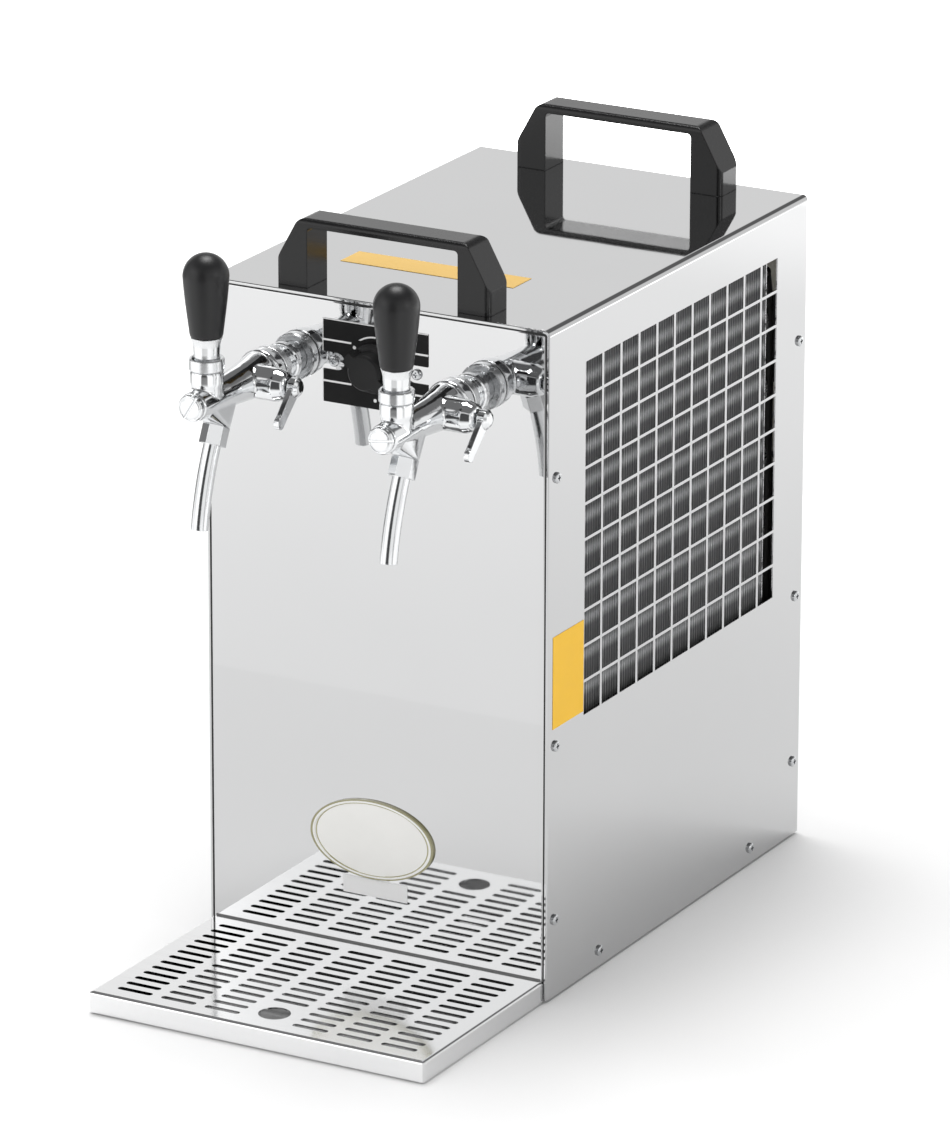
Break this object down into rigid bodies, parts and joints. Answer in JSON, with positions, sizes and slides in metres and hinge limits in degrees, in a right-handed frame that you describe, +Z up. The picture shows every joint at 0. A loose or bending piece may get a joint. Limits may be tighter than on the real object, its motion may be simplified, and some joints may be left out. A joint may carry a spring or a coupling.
{
  "type": "draught beer dispenser",
  "caption": "Counter-top dry cooler for draught beer: polished steel casing, compensator taps with black lever knobs, thermostat dial, drip tray and carrying handles.",
  "frame": {"origin": "on the counter, under the middle of the whole object with its drip tray", "axes": "+Z up, +X to the right seen from the front, taps and drip tray towards -Y"},
  "size_m": [0.2794, 0.589, 0.547],
  "materials": {
    "polished_steel": "mirror polished stainless sheet",
    "grate_steel": "bright polished stainless sheet",
    "inner_steel": "plain galvanised sheet",
    "tap_chrome": "chromed brass",
    "screw_steel": "zinc plated",
    "black_plastic": "satin moulded",
    "knob_plastic": "glossy moulded",
    "dial_plate": "satin black with white lines",
    "label_film": "blank film labels",
    "badge_enamel": "cream with an olive and gold rim",
    "foot_rubber": "moulded",
    "comp_paint": "black enamel",
    "fin_aluminium": "dusty fin stock",
    "copper_tube": "drawn copper",
    "block_aluminium": "cast",
    "foam": "moulded foam",
    "fan_plastic": "moulded",
    "shroud_paint": "dark grey"
  },
  "bodies": {
    "casing": {"outer_cover": "polished_steel", "front_panel": "polished_steel", "rear_panel": "polished_steel", "base_plate": "inner_steel", "condenser_frame": "inner_steel", "thermostat_body": "inner_steel", "inlet_pipes": "inner_steel", "outlet_pipes": "inner_steel", "cover_screws": "screw_steel", "handle_screws": "screw_steel", "thermostat_screws": "screw_steel", "inlet_nuts": "screw_steel", "shank_nuts": "screw_steel", "lever_pins": "screw_steel", "front_handle": "black_plastic", "rear_handle": "black_plastic", "beer_inlets": "black_plastic", "cord_gland": "black_plastic", "thermostat_plate": "dial_plate", "blank_labels": "label_film", "badge_plate": "badge_enamel", "rubber_feet": "foot_rubber", "compressor_mounts": "foot_rubber", "compressor": "comp_paint", "condenser_fins": "fin_aluminium", "condenser_tubes": "copper_tube", "discharge_pipe": "copper_tube", "suction_pipe": "copper_tube", "filter_drier": "copper_tube", "capillary_tube": "copper_tube", "cooling_block": "block_aluminium", "block_insulation": "foam", "fan_shroud": "shroud_paint", "fan_motor": "shroud_paint", "bonnet_nuts": "tap_chrome", "left_tap_shank": "tap_chrome", "left_tap_collar": "tap_chrome", "left_tap_body": "tap_chrome", "left_tap_cap": "tap_chrome", "left_tap_spout": "tap_chrome", "right_tap_shank": "tap_chrome", "right_tap_collar": "tap_chrome", "right_tap_body": "tap_chrome", "right_tap_cap": "tap_chrome", "right_tap_spout": "tap_chrome"},
    "thermostat_dial": {"thermostat_knob": "black_plastic"},
    "fan": {"fan_blades": "fan_plastic"},
    "tray": {"drip_tray": "grate_steel"},
    "grate": {"drip_grate": "grate_steel"},
    "left_lever": {"left_tap_lever": "tap_chrome", "left_tap_knob": "knob_plastic"},
    "left_plunger": {"left_tap_plunger": "tap_chrome"},
    "left_flow": {"left_flow_lever": "tap_chrome"},
    "left_cone": {"left_flow_cone": "tap_chrome"},
    "right_lever": {"right_tap_lever": "tap_chrome", "right_tap_knob": "knob_plastic"},
    "right_plunger": {"right_tap_plunger": "tap_chrome"},
    "right_flow": {"right_flow_lever": "tap_chrome"},
    "right_cone": {"right_flow_cone": "tap_chrome"}
  },
  "joints": [
    {"name": "left_lever_pull", "type": "hinge", "parent": "casing", "child": "left_lever", "pos_m": [-0.075, -0.2255, 0.471], "axis": [1, 0, 0], "range_deg": [0, 30]},
    {"name": "left_plunger_slide", "type": "slide", "parent": "casing", "child": "left_plunger", "axis": [0, 1, 0], "range_m": [0, 0.0055]},
    {"name": "left_flow_turn", "type": "hinge", "parent": "casing", "child": "left_flow", "pos_m": [-0.037, -0.1705, 0.4415], "axis": [1, 0, 0], "range_deg": [-60, 60]},
    {"name": "left_cone_slide", "type": "slide", "parent": "casing", "child": "left_cone", "axis": [0, 1, 0], "range_m": [-0.002, 0.002]},
    {"name": "right_lever_pull", "type": "hinge", "parent": "casing", "child": "right_lever", "pos_m": [0.075, -0.2255, 0.471], "axis": [1, 0, 0], "range_deg": [0, 30]},
    {"name": "right_plunger_slide", "type": "slide", "parent": "casing", "child": "right_plunger", "axis": [0, 1, 0], "range_m": [0, 0.0055]},
    {"name": "right_flow_turn", "type": "hinge", "parent": "casing", "child": "right_flow", "pos_m": [0.113, -0.1705, 0.4415], "axis": [1, 0, 0], "range_deg": [-60, 60]},
    {"name": "right_cone_slide", "type": "slide", "parent": "casing", "child": "right_cone", "axis": [0, 1, 0], "range_m": [-0.002, 0.002]},
    {"name": "thermostat_turn", "type": "hinge", "parent": "casing", "child": "thermostat_dial", "pos_m": [0, -0.1305, 0.4487], "axis": [0, -1, 0], "range_deg": [-135, 135]},
    {"name": "fan_spin", "type": "hinge", "parent": "casing", "child": "fan", "pos_m": [0.076, 0.1125, 0.3296], "axis": [1, 0, 0], "continuous": true},
    {"name": "tray_slide", "type": "slide", "parent": "casing", "child": "tray", "axis": [0, -1, 0], "range_m": [0, 0.06]},
    {"name": "grate_lift", "type": "slide", "parent": "tray", "child": "grate", "axis": [0, 0, 1], "range_m": [0, 0.05]}
  ],
  "couplings": [
    {"joint": "left_plunger_slide", "follows": "left_lever_pull", "m_per_rad": 0.0105},
    {"joint": "left_cone_slide", "follows": "left_flow_turn", "m_per_rad": -0.00182},
    {"joint": "right_plunger_slide", "follows": "right_lever_pull", "m_per_rad": 0.0105},
    {"joint": "right_cone_slide", "follows": "right_flow_turn", "m_per_rad": -0.00182}
  ]
}
